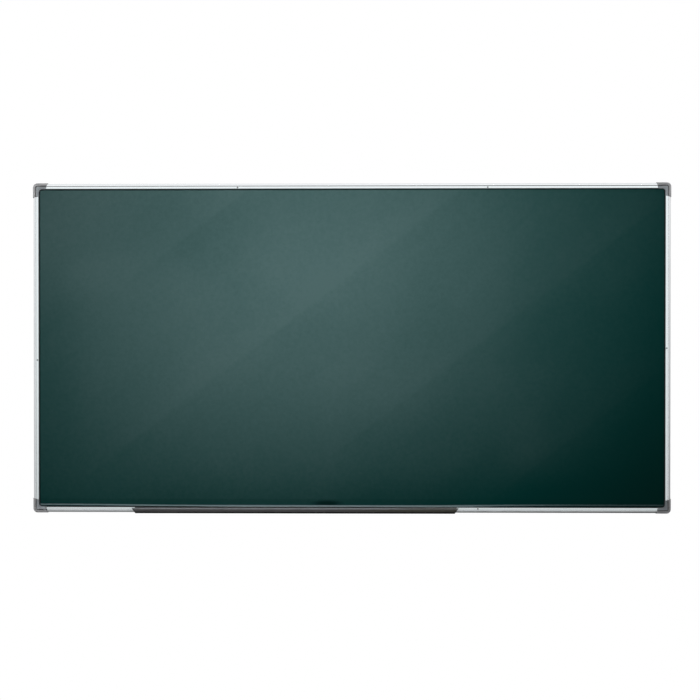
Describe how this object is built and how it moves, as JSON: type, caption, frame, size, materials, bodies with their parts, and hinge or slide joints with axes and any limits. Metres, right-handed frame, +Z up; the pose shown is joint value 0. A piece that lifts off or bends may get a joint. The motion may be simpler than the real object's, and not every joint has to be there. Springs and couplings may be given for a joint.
{
  "type": "magnetic chalkboard",
  "caption": "Wide wall-hung chalkboard with a green steel writing face, aluminium frame, moulded corner caps and a chalk tray that slides along the bottom rail.",
  "frame": {"origin": "middle of the four wall-screw places, on the wall", "axes": "+X along the board, +Y into the wall, +Z up; the writing face looks along -Y"},
  "size_m": [1.9696, 0.0793, 1.0196],
  "materials": {
    "rail_aluminium": "satin anodised",
    "cap_plastic": "fine-grained moulding",
    "board_lacquer": "matt chalk lacquer",
    "core": "raw",
    "galvanised_steel": "galvanised, spangled",
    "zinc_steel": "zinc plated",
    "tray_plastic": "satin"
  },
  "bodies": {
    "board": {"top_rail": "rail_aluminium", "bottom_rail": "rail_aluminium", "left_rail": "rail_aluminium", "right_rail": "rail_aluminium", "corner_cap_top_left": "cap_plastic", "corner_cap_top_right": "cap_plastic", "corner_cap_bottom_left": "cap_plastic", "corner_cap_bottom_right": "cap_plastic", "writing_sheet": "board_lacquer", "core_board": "core", "backing_sheet": "galvanised_steel", "top_rail_screws": "zinc_steel", "bottom_rail_screws": "zinc_steel", "left_rail_screw": "zinc_steel", "right_rail_screw": "zinc_steel", "corner_screws": "zinc_steel", "hanger_top_left": "zinc_steel", "hanger_top_right": "zinc_steel", "hanger_bottom_left": "zinc_steel", "hanger_bottom_right": "zinc_steel", "hanger_screws": "zinc_steel"},
    "tray": {"tray_channel": "tray_plastic", "tray_end_cap_left": "tray_plastic", "tray_end_cap_right": "tray_plastic"}
  },
  "joints": [
    {"name": "tray_slide", "type": "slide", "parent": "board", "child": "tray", "axis": [1, 0, 0], "range_m": [-0.27, 0.61]}
  ]
}
